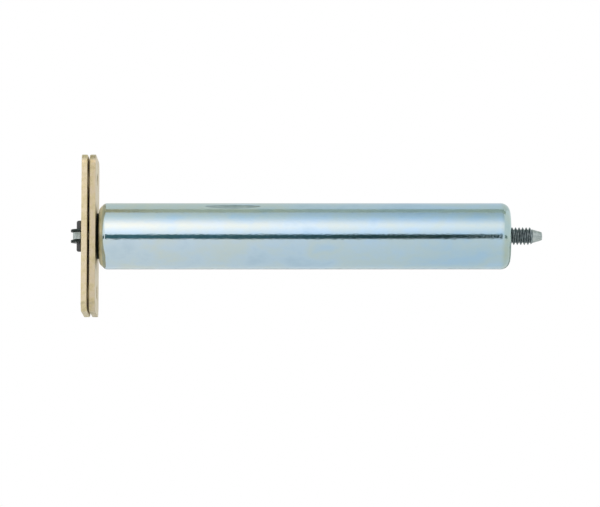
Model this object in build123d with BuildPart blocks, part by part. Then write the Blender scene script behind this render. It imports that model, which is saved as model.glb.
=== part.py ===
# Concealed door closer: a sprung tube that sits in a bored hole in the door's edge and
# pulls on a short chain, whose other end is held by a plate on the door frame.
# Units are millimetres. +X runs from the door plate's outer face into the door, along the
# tube, +Z runs up along the plates' long side, and +Y is the third direction.
from build123d import *
from math import atan2, cos, sin
import os

# Door plate and frame plate
plate_length = 57.0
plate_width = 25.0
plate_thick = 2.2
plate_corner = 3.5
plate_roll = 0.5
plate_gap = 0.65
screw_spacing = 41.0
screw_hole = 4.8
screw_head = 9.0
slot_length = 15.0
slot_width = 5.6
slot_edge = 0.3

# Tube, with a closed rear end and a front lip rolled in round the guide bush
neck_gap = 0.9
tube_length = 148.7
tube_diameter = 24.0
tube_wall = 1.2
tube_chamfer = 2.0
tube_rear_round = 3.5
rear_hole = 7.8
flat_depth = 0.35
flat_length = 19.0
flat_start = 42.0

# Guide bush, which joins the door plate to the tube and guides the chain
guide_lip_width = 1.65
guide_shoulder = 1.3
guide_wall = 1.0
guide_rim_width = 0.9
guide_rim_stand = 0.4
guide_flange_thick = 1.9
guide_sleeve_length = 2.8
guide_mouth = 1.2

# Spring and the washers at its ends
spring_wire = 2.2
spring_turns = 14
spring_wire_sides = 6
spring_ground = 0.35
washer_thick = 1.2

# Follower nut on the rod
nut_rear_room = 1.4
nut_flange_thick = 3.6
nut_hub_length = 12.0
nut_chamfer = 0.6

# Rod, which the fork joins to the chain
rod_diameter = 6.35
rod_shank = 5.6
rod_thread_length = 40.0
rod_stand_out = 11.5
rod_cone_length = 4.0
rod_tip = 2.9
rod_tip_round = 0.4
rod_spigot = 4.6
rod_spigot_length = 9.0

# Fork at the rod's front end
fork_diameter = 10.0
fork_nose = 3.3
fork_throat = 4.2
fork_chamfer = 1.0
fork_pin_recess = 0.6

# Chain
chain_pitch = 8.0
chain_links = 9
roller_diameter = 5.0
bush_diameter = 3.5
chain_pin = 2.31
inner_width = 3.0
link_plate_thick = 0.85
inner_link_height = 6.5
outer_link_height = 6.0
link_waist = 4.8
pin_head = 0.6
pin_chamfer = 0.25
anchor_pin_length = 11.3

# Clearances, on the radius or along an axis
press_clearance = 0.01
pin_clearance = 0.025
roller_clearance = 0.05
link_side_clearance = 0.1
seat_clearance = 0.05
washer_clearance = 0.15
slide_clearance = 0.3
spring_clearance = 0.7
hub_clearance = 0.9

# Stations along X
tube_start = plate_thick + neck_gap
tube_end = tube_start + tube_length
lip_end = tube_start + tube_wall
frame_plate_start = -plate_gap - plate_thick
anchor_x = frame_plate_start - seat_clearance - chain_pin / 2
fork_pin_x = anchor_x + chain_links * chain_pitch
flange_start = lip_end + seat_clearance
flange_end = flange_start + guide_flange_thick
guide_end = flange_end + guide_sleeve_length
spring_start = flange_end + washer_thick
nut_end = tube_end - tube_wall - nut_rear_room
nut_shoulder = nut_end - nut_flange_thick
spring_end = nut_shoulder - washer_thick
rod_end = tube_end + rod_stand_out
rod_cone_start = rod_end - rod_cone_length
rod_thread_start = rod_cone_start - rod_thread_length
fork_throat_x = fork_pin_x + fork_throat
fork_end = fork_throat_x + rod_spigot_length

# Radii and widths
tube_radius = tube_diameter / 2
tube_bore = tube_radius - tube_wall
washer_radius = tube_bore - washer_clearance
neck_radius = tube_radius - tube_chamfer - guide_lip_width - seat_clearance
sleeve_radius = neck_radius - guide_shoulder
guide_bore = sleeve_radius - guide_wall
rim_radius = sleeve_radius + guide_rim_width
spring_radius = tube_bore - spring_clearance - spring_wire / 2
hub_radius = spring_radius - spring_wire / 2 - hub_clearance
lip_inner_chamfer = tube_chamfer - tube_wall * (2 - 2**0.5)
inner_over_plates = inner_width + 2 * link_plate_thick
outer_between_plates = inner_over_plates + 2 * link_side_clearance
outer_over_plates = outer_between_plates + 2 * link_plate_thick
link_pin_length = outer_over_plates + 2 * pin_head
bush_bore = chain_pin / 2 + pin_clearance


def write(piece, name):
    """Names a finished piece and writes it to its own file."""
    piece.part.label = name
    export_step(piece.part, f"parts/{name}.step")


def plate_blank(x, facing, sunk):
    """A plate with die-rolled edges on its facing side and two countersunk screw holes.

    facing and sunk are 1 for the side towards +X and -1 for the side towards -X.
    """
    with BuildPart() as blank:
        with BuildSketch(Plane.YZ.offset(x)):
            RectangleRounded(plate_width, plate_length, plate_corner)
        extrude(amount=plate_thick)
        sides = blank.faces().filter_by(Axis.X).sort_by(Axis.X)
        fillet(sides[-1 if facing > 0 else 0].outer_wire().edges(), plate_roll)
        sunk_x = x + plate_thick if sunk > 0 else x
        with Locations(Plane(origin=(sunk_x, 0, 0), x_dir=(0, 0, 1), z_dir=(sunk, 0, 0))):
            with GridLocations(screw_spacing, 1, 2, 1):
                CounterSinkHole(screw_hole / 2, screw_head / 2, depth=plate_thick, counter_sink_angle=90)
    return blank.part


def make_door_plate():
    """Plate on the door's edge, with a round hole that the guide bush is staked into."""
    with BuildPart() as door_plate:
        add(plate_blank(0, -1, -1))
        with BuildSketch(Plane.YZ):
            Circle(sleeve_radius + press_clearance)
        extrude(amount=plate_thick, mode=Mode.SUBTRACT)
    write(door_plate, "door_plate")


def make_frame_plate():
    """Plate on the door frame, with a cross slot that the chain's end passes through."""
    with BuildPart() as frame_plate:
        add(plate_blank(frame_plate_start, 1, 1))
        with BuildSketch(Plane.YZ.offset(frame_plate_start)):
            SlotOverall(slot_length, slot_width)
        extrude(amount=plate_thick, mode=Mode.SUBTRACT)
        outer_face = frame_plate.faces().filter_by(Axis.X).sort_by(Axis.X)[0]
        slot_mouth = outer_face.inner_wires().sort_by(lambda wire: wire.length)[-1]
        chamfer(slot_mouth.edges(), slot_edge)
    write(frame_plate, "frame_plate")


def make_anchor_pin():
    """Cross pin that holds the chain's first link behind the frame plate."""
    with BuildPart() as anchor_pin:
        with BuildSketch(Plane.XY.offset(-anchor_pin_length / 2)):
            with Locations((anchor_x, 0)):
                Circle(chain_pin / 2)
        extrude(amount=anchor_pin_length)
        chamfer(anchor_pin.edges().filter_by(GeomType.CIRCLE), pin_chamfer)
    write(anchor_pin, "anchor_pin")


def make_tube():
    """Thin-walled tube, turned about X: rolled lip, chamfer, long wall and round rear end."""
    rear_inner_round = tube_rear_round - tube_wall
    with BuildPart() as tube:
        with BuildSketch(Plane.XY):
            with BuildLine():
                outer = Polyline(
                    (tube_start, neck_radius + seat_clearance),
                    (tube_start, tube_radius - tube_chamfer),
                    (tube_start + tube_chamfer, tube_radius),
                    (tube_end - tube_rear_round, tube_radius),
                )
                rear = JernArc(outer @ 1, (1, 0), tube_rear_round, -90)
                back = Polyline(
                    rear @ 1,
                    (tube_end, rear_hole / 2),
                    (tube_end - tube_wall, rear_hole / 2),
                    (tube_end - tube_wall, tube_radius - tube_rear_round),
                )
                inside = JernArc(back @ 1, (0, 1), rear_inner_round, 90)
                Polyline(
                    inside @ 1,
                    (lip_end + lip_inner_chamfer, tube_bore),
                    (lip_end, tube_bore - lip_inner_chamfer),
                    (lip_end, neck_radius + seat_clearance),
                    (tube_start, neck_radius + seat_clearance),
                )
            make_face()
        revolve(axis=Axis.X)
        # The shallow pressed flat on top is where a large cylinder dips into the wall
        press_radius = (flat_length / 2) ** 2 / (2 * flat_depth) + flat_depth / 2
        with BuildSketch(Plane.XZ.offset(-tube_radius)):
            with Locations((flat_start + flat_length / 2, tube_radius - flat_depth + press_radius)):
                Circle(press_radius)
        extrude(amount=tube_diameter, mode=Mode.SUBTRACT)
    write(tube, "tube")


def make_guide_bush():
    """Turned bush: staked rim, neck between plate and tube, flange behind the lip, sleeve."""
    with BuildPart() as guide_bush:
        with BuildSketch(Plane.XY):
            with BuildLine():
                Polyline(
                    (-guide_rim_stand, guide_bore),
                    (-guide_rim_stand, rim_radius - guide_rim_stand / 2),
                    (-guide_rim_stand / 2, rim_radius),
                    (0, rim_radius),
                    (0, sleeve_radius),
                    (plate_thick, sleeve_radius),
                    (plate_thick, neck_radius),
                    (flange_start, neck_radius),
                    (flange_start, washer_radius - lip_inner_chamfer),
                    (flange_start + lip_inner_chamfer, washer_radius),
                    (flange_end, washer_radius),
                    (flange_end, sleeve_radius),
                    (guide_end, sleeve_radius),
                    (guide_end, guide_bore),
                    (-guide_rim_stand, guide_bore),
                )
            make_face()
        revolve(axis=Axis.X)
        bore_edges = guide_bush.edges().filter_by(GeomType.CIRCLE)
        bore_edges = bore_edges.filter_by(lambda edge: abs(edge.radius - guide_bore) < press_clearance)
        chamfer(bore_edges.sort_by(Axis.X)[0], guide_mouth)
        chamfer(bore_edges.sort_by(Axis.X)[-1], guide_mouth / 2)
    write(guide_bush, "guide_bush")


def make_spring_washer(name, x, hole_radius):
    """Flat steel washer that the spring's ground end bears on."""
    with BuildPart() as washer:
        with BuildSketch(Plane.YZ.offset(x)):
            Circle(washer_radius)
            Circle(hole_radius, mode=Mode.SUBTRACT)
        extrude(amount=washer_thick)
    write(washer, name)


def make_spring():
    """Compression spring with one closed turn at each end, both ends ground flat."""
    closed_pitch = spring_wire + seat_clearance
    coil_start = spring_start + spring_wire * (0.5 - spring_ground)
    coil_end = spring_end - spring_wire * (0.5 - spring_ground)
    open_start = coil_start + closed_pitch
    open_length = coil_end - closed_pitch - open_start
    with BuildPart() as spring:
        with BuildLine():
            lead = Helix(closed_pitch, closed_pitch, spring_radius, (coil_start, 0, 0), (1, 0, 0))
            Helix(open_length / spring_turns, open_length, spring_radius, (open_start, 0, 0), (1, 0, 0))
            Helix(closed_pitch, closed_pitch, spring_radius, (open_start + open_length, 0, 0), (1, 0, 0))
        with BuildSketch(Plane(origin=lead @ 0, z_dir=lead % 0)):
            RegularPolygon(spring_wire / 2, spring_wire_sides)
        sweep(is_frenet=True)
        split(bisect_by=Plane.YZ.offset(spring_start), keep=Keep.TOP)
        split(bisect_by=Plane.YZ.offset(spring_end), keep=Keep.BOTTOM)
    write(spring, "compression_spring")


def make_follower_nut():
    """Nut that the rod's thread carries: a flange behind the spring and a hub inside it."""
    with BuildPart() as nut:
        with BuildSketch(Plane.YZ.offset(nut_shoulder)):
            Circle(tube_bore - slide_clearance)
        extrude(amount=nut_flange_thick)
        chamfer(nut.edges().filter_by(GeomType.CIRCLE), nut_chamfer)
        with BuildSketch(Plane.YZ.offset(nut_shoulder - nut_hub_length)):
            Circle(hub_radius)
        extrude(amount=nut_hub_length)
        chamfer(nut.faces().sort_by(Axis.X)[0].edges(), nut_chamfer)
        with BuildSketch(Plane.YZ.offset(nut_shoulder - nut_hub_length)):
            Circle(rod_diameter / 2 + pin_clearance)
        extrude(amount=nut_hub_length + nut_flange_thick, mode=Mode.SUBTRACT)
    write(nut, "follower_nut")


def make_rod():
    """Rod turned about X: spigot in the fork, plain shank, thread blank and coned end."""
    with BuildPart() as rod:
        with BuildSketch(Plane.XY):
            with BuildLine():
                Polyline(
                    (fork_throat_x, 0),
                    (fork_throat_x, rod_spigot / 2),
                    (fork_end, rod_spigot / 2),
                    (fork_end, rod_shank / 2),
                    (rod_thread_start, rod_shank / 2),
                    (rod_thread_start + (rod_diameter - rod_shank) / 2, rod_diameter / 2),
                    (rod_cone_start, rod_diameter / 2),
                    (rod_end, rod_tip / 2),
                    (rod_end, 0),
                    (fork_throat_x, 0),
                )
            make_face()
        revolve(axis=Axis.X)
        fillet(rod.faces().sort_by(Axis.X)[-1].edges(), rod_tip_round)
    write(rod, "rod")


def make_rod_fork():
    """Fork with two ears, which hold the last chain link between them on a pin."""
    with BuildPart() as fork:
        with BuildSketch(Plane.YZ.offset(fork_pin_x - fork_nose)):
            Circle(fork_diameter / 2)
        extrude(amount=fork_end - fork_pin_x + fork_nose)
        chamfer(fork.edges().filter_by(GeomType.CIRCLE), fork_chamfer)
        with BuildSketch(Plane.XZ):
            with Locations(((fork_pin_x - fork_nose + fork_throat_x) / 2, 0)):
                Rectangle(fork_throat_x - fork_pin_x + fork_nose, outer_between_plates)
        extrude(amount=fork_diameter / 2, both=True, mode=Mode.SUBTRACT)
        with Locations(Plane.YZ.offset(fork_end)):
            Hole(rod_spigot / 2 + press_clearance, depth=rod_spigot_length)
        with Locations(Plane.XY.offset(fork_diameter / 2)):
            with Locations((fork_pin_x, 0)):
                Hole(chain_pin / 2 + press_clearance)
    write(fork, "rod_fork")


def make_fork_pin():
    """Pin pressed across the fork, just inside its round outside."""
    length = fork_diameter - 2 * fork_pin_recess
    with BuildPart() as fork_pin:
        with BuildSketch(Plane.XY.offset(-length / 2)):
            with Locations((fork_pin_x, 0)):
                Circle(chain_pin / 2)
        extrude(amount=length)
    write(fork_pin, "fork_pin")


def link_outline(x, height, hole_radius):
    """Outline of a chain plate: two round ends, a waist of tangent arcs and two holes."""
    end_radius = height / 2
    half_pitch = chain_pitch / 2
    waist = link_waist / 2
    waist_arc = (half_pitch**2 + waist**2 - end_radius**2) / (2 * (end_radius - waist))
    lean = atan2(waist + waist_arc, half_pitch)
    touch_x = end_radius * cos(lean)
    touch_y = end_radius * sin(lean)
    near = x + touch_x
    far = x + chain_pitch - touch_x
    with BuildSketch(Plane.XY) as outline:
        with BuildLine():
            ThreePointArc((near, touch_y), (x + half_pitch, waist), (far, touch_y))
            ThreePointArc((far, touch_y), (x + chain_pitch + end_radius, 0), (far, -touch_y))
            ThreePointArc((far, -touch_y), (x + half_pitch, -waist), (near, -touch_y))
            ThreePointArc((near, -touch_y), (x - end_radius, 0), (near, touch_y))
        make_face()
        with Locations((x, 0), (x + chain_pitch, 0)):
            Circle(hole_radius, mode=Mode.SUBTRACT)
    return outline.sketch


def make_link_plates(name, x, height, hole_radius, inside_width):
    """The two plates of one chain link, above and below its middle."""
    outline = link_outline(x, height, hole_radius)
    with BuildPart() as plates:
        for bottom in (inside_width / 2, -inside_width / 2 - link_plate_thick):
            with BuildSketch(Plane.XY.offset(bottom)):
                add(outline)
            extrude(amount=link_plate_thick)
    write(plates, name)


def make_inner_link(number, x):
    """Inner chain link: two plates, two bushes pressed into them and a roller on each bush."""
    bush = bush_diameter / 2
    name = f"chain_link_{number}"
    make_link_plates(f"{name}_plates", x, inner_link_height, bush + press_clearance, inner_width)
    with BuildPart() as bushes:
        with BuildSketch(Plane.XY.offset(-inner_over_plates / 2)):
            with Locations((x, 0), (x + chain_pitch, 0)):
                Circle(bush)
                Circle(bush_bore, mode=Mode.SUBTRACT)
        extrude(amount=inner_over_plates)
    write(bushes, f"{name}_bushes")
    roller_length = inner_width - 2 * link_side_clearance
    for end, centre in (("front", x), ("rear", x + chain_pitch)):
        with BuildPart() as roller:
            with BuildSketch(Plane.XY.offset(-roller_length / 2)):
                with Locations((centre, 0)):
                    Circle(roller_diameter / 2)
                    Circle(bush + roller_clearance, mode=Mode.SUBTRACT)
            extrude(amount=roller_length)
        write(roller, f"{name}_roller_{end}")


def make_outer_link(number, x):
    """Outer chain link: two plates and the two riveted pins that join it to its neighbours."""
    name = f"chain_link_{number}"
    pin_hole = chain_pin / 2 + press_clearance
    make_link_plates(f"{name}_plates", x, outer_link_height, pin_hole, outer_between_plates)
    with BuildPart() as pins:
        with BuildSketch(Plane.XY.offset(-link_pin_length / 2)):
            with Locations((x, 0), (x + chain_pitch, 0)):
                Circle(chain_pin / 2)
        extrude(amount=link_pin_length)
    write(pins, f"{name}_pins")


def make_chain():
    """All links in turn, from the anchor pin to the fork. Odd links are inner ones."""
    for number in range(1, chain_links + 1):
        x = anchor_x + (number - 1) * chain_pitch
        if number % 2:
            make_inner_link(number, x)
        else:
            make_outer_link(number, x)


def main():
    os.makedirs("parts", exist_ok=True)
    make_door_plate()
    make_frame_plate()
    make_anchor_pin()
    make_tube()
    make_guide_bush()
    make_spring_washer("front_spring_washer", flange_end, sleeve_radius + washer_clearance)
    make_spring_washer("rear_spring_washer", spring_end, hub_radius + washer_clearance)
    make_spring()
    make_follower_nut()
    make_rod()
    make_rod_fork()
    make_fork_pin()
    make_chain()


main()
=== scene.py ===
"""Looks of a concealed door closer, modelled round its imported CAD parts.

Everything is in metres in the parts' own frame: +X runs along the tube into the door, +Z up along
the plates' long side, and the camera looks from the -Y side. Sizes below are in millimetres and
are turned to metres as a mesh is made.
"""

import logging
import math
from collections.abc import Callable, Iterable, Iterator
from contextlib import contextmanager
from dataclasses import dataclass, field, replace
from enum import Enum

import bpy
from mathutils import Matrix, Vector


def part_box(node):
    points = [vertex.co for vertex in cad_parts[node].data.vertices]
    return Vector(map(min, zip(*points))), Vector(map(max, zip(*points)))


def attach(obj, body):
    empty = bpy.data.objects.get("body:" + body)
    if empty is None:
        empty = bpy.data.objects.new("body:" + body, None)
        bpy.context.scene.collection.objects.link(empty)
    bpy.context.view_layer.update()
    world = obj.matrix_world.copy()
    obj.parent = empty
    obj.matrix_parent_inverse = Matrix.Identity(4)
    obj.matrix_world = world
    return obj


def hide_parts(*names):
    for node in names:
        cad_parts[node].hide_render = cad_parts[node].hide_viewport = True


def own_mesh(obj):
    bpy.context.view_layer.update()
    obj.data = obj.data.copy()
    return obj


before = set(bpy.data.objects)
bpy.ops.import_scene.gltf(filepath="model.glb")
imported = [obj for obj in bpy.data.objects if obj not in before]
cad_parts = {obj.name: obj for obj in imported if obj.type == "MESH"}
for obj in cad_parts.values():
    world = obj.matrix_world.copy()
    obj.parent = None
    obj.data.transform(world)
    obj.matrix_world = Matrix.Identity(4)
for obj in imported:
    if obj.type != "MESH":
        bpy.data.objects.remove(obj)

MM = 0.001
ALONG = (1.0, 0.0, 0.0)

# Fineness of turned shapes: the angle of one step of a rounding, and the steps of a full turn
ARC_STEP = math.radians(9.0)
PIN_STEPS = 48
LINK_STEPS = 64
ROD_STEPS = 96
WASHER_STEPS = 128
BUSH_STEPS = 160

# In millimetres: points closer than this are one point, a cutting shape reaches this far past what
# it cuts, and shapes that are joined into one reach this far into each other
SAME_POINT = 0.0005
CUT_PAST = 1.0
JOIN_DEPTH = 0.01

# Edges that are flatter than this look smooth
SMOOTH_ANGLE = math.radians(32.0)

# A noise's level stays between these two nearly everywhere
NOISE_LOW = 0.3
NOISE_HIGH = 0.7

log = logging.getLogger("door closer")

Corner = tuple[float, float, float]


class Side(Enum):
    """The two directions along the tube."""

    OUT_OF_DOOR = -1
    INTO_DOOR = 1


class Part(Enum):
    """The parts of a mesh that are selected by their places."""

    EDGE = "edges"
    FACE = "polygons"


class Join(Enum):
    """What a tool shape does to a piece."""

    CUT = "DIFFERENCE"
    ADD = "UNION"
    KEEP_INSIDE = "INTERSECT"


# Materials


def linear(hex_code: str) -> tuple[float, float, float, float]:
    """Turns an sRGB hex colour to the linear colour that a shader socket takes.

    Args:
        hex_code: Six hex digits, with or without a leading hash.

    Returns:
        Linear red, green and blue, and an alpha of one.
    """
    digits = hex_code.lstrip("#")
    channels = [int(digits[i : i + 2], 16) / 255 for i in (0, 2, 4)]
    bright = [c / 12.92 if c <= 0.04045 else ((c + 0.055) / 1.055) ** 2.4 for c in channels]
    return (bright[0], bright[1], bright[2], 1.0)


def add_node(
    tree: bpy.types.NodeTree,
    kind: str,
    inputs: dict | None = None,
    stops: Iterable[tuple[float, str]] = (),
    **settings,
) -> bpy.types.Node:
    """Adds a shader node, sets it up and joins its inputs.

    Args:
        tree: The node tree that gets the node.
        kind: The node's type name, without its ShaderNode prefix.
        inputs: Socket name or index to a value, or to another node's output socket.
        stops: Position and hex colour of each stop in order, where the node is a colour ramp.
        **settings: The node's own properties.

    Returns:
        The new node.
    """
    node = tree.nodes.new("ShaderNode" + kind)
    for name, value in settings.items():
        setattr(node, name, value)
    for key, value in (inputs or {}).items():
        if isinstance(value, bpy.types.NodeSocket):
            tree.links.new(value, node.inputs[key])
        else:
            node.inputs[key].default_value = value
    stops = list(stops)
    if stops:
        elements = node.color_ramp.elements
        while len(elements) < len(stops):
            elements.new(0.5)
        for element, (position, tone) in zip(elements, stops):
            element.position = position
            element.color = linear(tone)
    return node


def empty_tree(owner: bpy.types.Material | bpy.types.World) -> bpy.types.NodeTree:
    """Turns on the nodes of a material or a world, and takes away the ones it starts with.

    Args:
        owner: The new material or world.

    Returns:
        Its empty node tree.
    """
    owner.use_nodes = True
    owner.node_tree.nodes.clear()
    return owner.node_tree


@dataclass(frozen=True)
class Finish:
    """A metal finish: its colours, its gloss and the marks that its making leaves.

    Attributes:
        name: The finish's plain name, which is also the material's name.
        slot: The record's material slot. Nothing here reads it.
        tones: Hex colours that the surface wanders between.
        patch: Size of the colour patches, in millimetres.
        gloss: Lowest and highest roughness.
        smear: Size of the roughness patches, in millimetres.
        grain: Size of the fine surface grain, in millimetres.
        relief: Height of the fine grain, in millimetres.
        stretch: How much longer than wide the patches and the grain are along the tube.
        wave: Height of a slow waviness, in millimetres.
        wave_size: Size of the slow waviness, in millimetres.
        painted_light_drift: Places along the tube, in millimetres, and the tints that multiply the
            colours there: painted light that makes the camera side whiter at the front and bluer towards
            the rear.
        far_tint: The tint that takes the painted light's place on the side away from the camera.
        far_side: How far behind the tube's axis that tint is reached, in millimetres.
    """

    name: str
    slot: str
    tones: tuple[str, ...]
    patch: float
    gloss: tuple[float, float]
    smear: float
    grain: float
    relief: float
    stretch: float = 1.0
    wave: float = 0.0
    wave_size: float = 8.0
    painted_light_drift: tuple[tuple[float, str], ...] = ()
    far_tint: str = "#FFFFFF"
    far_side: float = 7.0

    def material(self) -> bpy.types.Material:
        """Builds the finish's material, or finds it if it was built before.

        Returns:
            The material.
        """
        made = bpy.data.materials.get(self.name)
        if made:
            return made
        made = bpy.data.materials.new(self.name)
        tree = empty_tree(made)
        place = add_node(tree, "TexCoord").outputs["Object"]
        along = add_node(
            tree, "Mapping", {"Vector": place, "Scale": (1 / self.stretch, 1, 1)}, vector_type="POINT"
        ).outputs["Vector"]
        # Of each noise: its size, how many finer layers it has, and how strong they are
        layers = [(self.patch, 5.0, 0.6), (self.smear, 6.0, 0.65), (self.grain, 3.0, 0.55)]
        if self.wave:
            layers.append((self.wave_size, 1.0, 0.5))
        patches, smears, *reliefs = (
            add_node(
                tree,
                "TexNoise",
                {"Vector": along, "Scale": 1 / (size * MM), "Detail": detail, "Roughness": rough},
            ).outputs["Fac"]
            for size, detail, rough in layers
        )
        step = (NOISE_HIGH - NOISE_LOW) / (len(self.tones) - 1)
        stops = [(NOISE_LOW + step * i, tone) for i, tone in enumerate(self.tones)]
        tone = add_node(tree, "ValToRGB", {"Fac": patches}, stops).outputs["Color"]
        # Painted light along the tube's camera side, where the finish has it
        if self.painted_light_drift:
            tone = self.paint_light_drift(tree, place, tone)
        gloss = add_node(
            tree,
            "MapRange",
            {
                "Value": smears,
                "From Min": NOISE_LOW,
                "From Max": NOISE_HIGH,
                "To Min": self.gloss[0],
                "To Max": self.gloss[1],
            },
        )
        # The slow waviness, where the finish has one, lies on top of the fine grain
        normal = {}
        for level, height in zip(reliefs, (self.relief, self.wave)):
            bump = add_node(
                tree, "Bump", {"Height": level, "Distance": height * MM, "Strength": 1.0, **normal}
            )
            normal = {"Normal": bump.outputs["Normal"]}
        shader = add_node(
            tree,
            "BsdfPrincipled",
            {"Base Color": tone, "Metallic": 1.0, "Roughness": gloss.outputs["Result"], **normal},
        )
        add_node(tree, "OutputMaterial", {"Surface": shader.outputs["BSDF"]})
        return made

    def paint_light_drift(
        self, tree: bpy.types.NodeTree, place: bpy.types.NodeSocket, tone: bpy.types.NodeSocket
    ) -> bpy.types.NodeSocket:
        """Multiplies the finish's colour by painted light: a tint along the tube's camera side, which
        fades to a plain tint on the far side.

        Args:
            tree: The material's node tree.
            place: The object coordinates.
            tone: The colour without the painted light.

        Returns:
            The drifting colour's socket.
        """
        parts = add_node(tree, "SeparateXYZ", {"Vector": place})
        reach = self.painted_light_drift[-1][0]
        share, farness = (
            add_node(
                tree, "MapRange", {"Value": parts.outputs[axis], "From Min": 0.0, "From Max": limit * MM}
            ).outputs["Result"]
            for axis, limit in (("X", reach), ("Y", self.far_side))
        )
        stops = [(x / reach, stop) for x, stop in self.painted_light_drift]
        tint = add_node(tree, "ValToRGB", {"Fac": share}, stops).outputs["Color"]
        # The two colours of a mixing node are its inputs 6 and 7, and the mixed one is its output 2
        round_tube = add_node(
            tree, "Mix", {0: farness, 6: tint, 7: linear(self.far_tint)}, data_type="RGBA"
        ).outputs[2]
        return add_node(
            tree, "Mix", {0: 1.0, 6: tone, 7: round_tube}, data_type="RGBA", blend_type="MULTIPLY"
        ).outputs[2]


# The real grain of these finishes is mostly under 0.1 mm, which is too fine to show, so it is drawn
# 0.25 to 0.6 mm wide

# Zinc electroplate with a blue-clear passivate: a bright cold sheen with faint yellow and green clouds
ZINC_PLATE = Finish(
    name="bright_zinc_plate_blue_passivate",
    slot="zinc_plated_steel",
    tones=("#B9CFDD", "#C6D9E4", "#CCD9D8", "#C0D6E3"),
    patch=14.0,
    gloss=(0.05, 0.09),
    smear=9.0,
    grain=0.6,
    relief=0.024,
    stretch=1.5,
    wave=0.02,
    wave_size=9.0,
    # Painted light: tints that make the camera side whiter at the front, bluer towards the rear and
    # greyer at the rear end
    painted_light_drift=((15.0, "#FFFFFF"), (125.0, "#E6F4FF"), (148.0, "#E4F2FC"), (149.5, "#E2E8DD")),
    far_tint="#F4EEE6",
)

# The same zinc in the pressed mark: rougher, with its colour painted darker and greyer as painted shade
# and dark reflection in the shallow recess
PRESSED_ZINC_PAINTED_DARK = replace(
    ZINC_PLATE,
    name="pressed_mark_in_zinc_plate",
    tones=("#98ABB1", "#AABBBF", "#B9C7C8"),
    patch=2.0,
    gloss=(0.1, 0.16),
)

# The same zinc over the rolled lip, painted paler: a painted highlight on the lip and the front of the
# chamfer
LIP_ZINC_PAINTED_HIGHLIGHT = replace(
    ZINC_PLATE,
    name="burnished_lip_in_zinc_plate",
    tones=("#EFF3EE", "#F6FAF5", "#FAFBF2"),
    patch=3.0,
)

# Steel blanked in a press, then brass plated: a warm cream tone with pink and grey mottling
BRASSED_STEEL = Finish(
    name="satin_brass_plate_on_blanked_steel",
    slot="brassed_steel",
    tones=("#CFC197", "#DCCEA5", "#E2D3B4", "#D8CBA6"),
    patch=2.2,
    gloss=(0.34, 0.5),
    smear=3.0,
    grain=0.5,
    relief=0.012,
)

# The same plating in darker, browner tones, for the door plate beside the frame plate
DULL_BRASSED_STEEL = replace(
    BRASSED_STEEL,
    name="dull_brass_plate_on_blanked_steel",
    tones=("#BFB18B", "#CCBE97", "#D1C2A6", "#C7BB9A"),
)

# Free-cutting steel, turned and left bare with a film of oil: mid grey, with fine lines round the piece
TURNED_STEEL = Finish(
    name="turned_bare_steel",
    slot="turned_steel",
    tones=("#8E908E", "#A4A6A3", "#B0B1AC"),
    patch=4.0,
    gloss=(0.28, 0.42),
    smear=3.0,
    grain=0.25,
    relief=0.004,
    stretch=0.3,
)

# Free-cutting brass, turned the same way: yellow, with a slightly finer surface and more gloss
TURNED_BRASS = replace(
    TURNED_STEEL,
    name="turned_brass",
    slot="turned_brass",
    tones=("#B79A55", "#CBAF6A", "#D6BD7C"),
    gloss=(0.25, 0.38),
    relief=0.003,
)

# Oil-tempered spring wire: a blue-black scale that is dull where it was coiled
SPRING_WIRE = Finish(
    name="oil_tempered_spring_wire",
    slot="spring_steel",
    tones=("#2B2C2E", "#3B3C3D", "#4A4946"),
    patch=2.5,
    gloss=(0.38, 0.55),
    smear=1.5,
    grain=0.3,
    relief=0.006,
)

# Black oxide under oil: near black, with an oily sheen and greyer rubbed spots
BLACK_OXIDE = Finish(
    name="black_oxide_steel",
    slot="black_oxide_steel",
    tones=("#1E2122", "#2E3232", "#4A504F"),
    patch=1.2,
    gloss=(0.3, 0.46),
    smear=1.0,
    grain=0.3,
    relief=0.006,
)

# The bush's black oxide steel, painted matt and nearly black: its own dark colour with painted shade on
# top, for the neck in the narrow gap between plate and tube
BUSH_PAINTED_SHADE = replace(
    BLACK_OXIDE,
    name="oiled_phosphated_steel",
    tones=("#0C0F0D", "#161A17", "#242821"),
    gloss=(0.5, 0.66),
)

# A rolled thread that a nut has run on: most of its black oxide is rubbed to a steely grey
RUBBED_THREAD = replace(
    BLACK_OXIDE,
    name="rubbed_black_oxide_thread",
    tones=("#5A6466", "#7E8A8C", "#A3AEAF"),
)

# The point that is turned after the thread is blackened: bare steel, pale and satin
BARE_POINT = replace(
    BLACK_OXIDE,
    name="bare_turned_point",
    tones=("#98A3A1", "#AEB8B6", "#C2CAC8"),
)

# Blued chain plate, stamped and tumbled, dark with oil: blue-black, with greyer worn spots
CHAIN_PLATE = Finish(
    name="blued_chain_plate_steel",
    slot="chain_plate_steel",
    tones=("#202522", "#333A37", "#4A524F"),
    patch=1.4,
    gloss=(0.3, 0.48),
    smear=1.2,
    grain=0.35,
    relief=0.008,
)

# Hardened chain roller, tumbled bright: pale and satin, with small dull spots
CHAIN_ROLLER = Finish(
    name="tumbled_chain_roller_steel",
    slot="chain_roller_steel",
    tones=("#8C948D", "#ADB5B0", "#C8D0CE"),
    patch=1.6,
    gloss=(0.3, 0.45),
    smear=1.2,
    grain=0.3,
    relief=0.006,
)

# Chain pin, hardened and riveted over at its ends: a mid grey that oil has darkened
CHAIN_PIN = Finish(
    name="riveted_chain_pin_steel",
    slot="chain_pin_steel",
    tones=("#4E5251", "#6B706E", "#868B88"),
    patch=1.2,
    gloss=(0.3, 0.45),
    smear=1.0,
    grain=0.25,
    relief=0.006,
)


# Modelling helpers


def deselect() -> None:
    """Leaves nothing selected, so that an operator acts only on what it is given."""
    bpy.ops.object.select_all(action="DESELECT")


def pick(piece: bpy.types.Object) -> None:
    """Makes a piece the only selected object, and the active one.

    Args:
        piece: The piece that the next operator acts on.
    """
    deselect()
    piece.select_set(True)
    bpy.context.view_layer.objects.active = piece


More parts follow.
